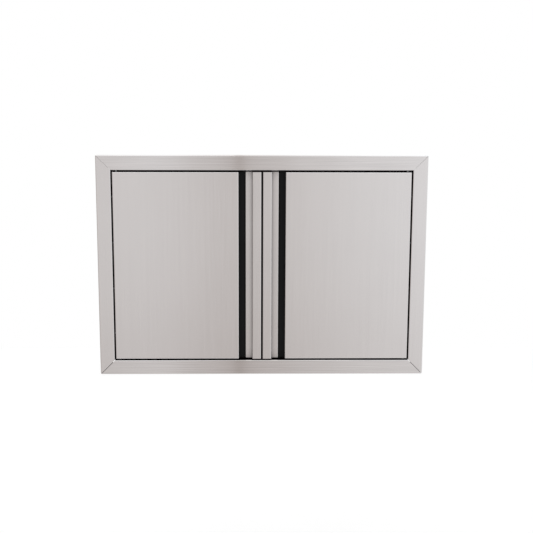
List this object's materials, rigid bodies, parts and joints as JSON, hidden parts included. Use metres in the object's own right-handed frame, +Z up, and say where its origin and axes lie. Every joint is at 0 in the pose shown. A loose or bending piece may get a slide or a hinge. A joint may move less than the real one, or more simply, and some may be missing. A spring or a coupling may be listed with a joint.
{
  "type": "built-in storage cabinet",
  "caption": "Built-in steel pantry: mitred face frame, sealed box, inset doors on pivot pins with full-height recessed finger pulls, and a lift-out shelf.",
  "frame": {"origin": "middle of the bottom rail's seat flange, on the plane that seats on the island's face", "axes": "+X to the right as seen from the front, +Y back into the island, +Z up; the doors face -Y"},
  "size_m": [0.8382, 0.527, 0.5683],
  "materials": {
    "face_steel": "brushed, clear grain",
    "box_steel": "fine brushed, duller",
    "dark_steel": "satin black coat",
    "seal_rubber": "soft matt",
    "nylon": "natural white",
    "zinc_steel": "zinc plated",
    "magnet": "sintered, matt"
  },
  "bodies": {
    "cabinet": {"frame_top_rail": "face_steel", "frame_bottom_rail": "face_steel", "frame_left_stile": "face_steel", "frame_right_stile": "face_steel", "frame_corner_braces": "zinc_steel", "box_rivets": "zinc_steel", "left_shelf_standards": "zinc_steel", "right_shelf_standards": "zinc_steel", "standard_screws": "zinc_steel", "shelf_clips": "zinc_steel", "catch_pole_plates": "zinc_steel", "catch_screws": "zinc_steel", "left_lower_pivot_pin": "zinc_steel", "right_lower_pivot_pin": "zinc_steel", "box_left_side": "box_steel", "box_right_side": "box_steel", "box_top": "box_steel", "box_bottom": "box_steel", "box_back": "box_steel", "box_back_edges": "box_steel", "left_catch_body": "nylon", "right_catch_body": "nylon", "left_upper_bush": "nylon", "right_upper_bush": "nylon", "catch_magnets": "magnet"},
    "left_door": {"left_door_skin": "face_steel", "left_pull_rail": "face_steel", "left_pull_pocket": "dark_steel", "left_door_back": "box_steel", "left_door_seal": "seal_rubber", "left_meeting_seal": "seal_rubber", "left_strike_plate": "zinc_steel", "left_upper_pivot_bracket": "zinc_steel", "left_lower_pivot_bracket": "zinc_steel", "left_lower_bush": "nylon", "left_door_rivets": "zinc_steel", "left_pin_spring": "zinc_steel"},
    "left_upper_pin": {"left_upper_pivot_pin": "zinc_steel"},
    "right_door": {"right_door_skin": "face_steel", "right_pull_rail": "face_steel", "right_pull_pocket": "dark_steel", "right_door_back": "box_steel", "right_door_seal": "seal_rubber", "right_meeting_seal": "seal_rubber", "right_strike_plate": "zinc_steel", "right_upper_pivot_bracket": "zinc_steel", "right_lower_pivot_bracket": "zinc_steel", "right_lower_bush": "nylon", "right_door_rivets": "zinc_steel", "right_pin_spring": "zinc_steel"},
    "right_upper_pin": {"right_upper_pivot_pin": "zinc_steel"},
    "shelf": {"shelf_panel": "box_steel", "shelf_stiffener": "box_steel"}
  },
  "joints": [
    {"name": "left_door_hinge", "type": "hinge", "parent": "cabinet", "child": "left_door", "pos_m": [-0.3686, -0.0095, 0.0355], "axis": [0, 0, -1], "range_deg": [0, 100]},
    {"name": "left_pin_slide", "type": "slide", "parent": "left_door", "child": "left_upper_pin", "axis": [0, 0, -1], "range_m": [0, 0.01], "stiffness_N_per_m": 400, "springref_m": -0.02, "deforming": ["left_pin_spring"]},
    {"name": "right_door_hinge", "type": "hinge", "parent": "cabinet", "child": "right_door", "pos_m": [0.3686, -0.0095, 0.0355], "axis": [0, 0, 1], "range_deg": [0, 100]},
    {"name": "right_pin_slide", "type": "slide", "parent": "right_door", "child": "right_upper_pin", "axis": [0, 0, -1], "range_m": [0, 0.01], "stiffness_N_per_m": 400, "springref_m": -0.02, "deforming": ["right_pin_spring"]},
    {"name": "shelf_lift", "type": "slide", "parent": "cabinet", "child": "shelf", "axis": [0, 0, 1], "range_m": [0, 0.06]}
  ]
}
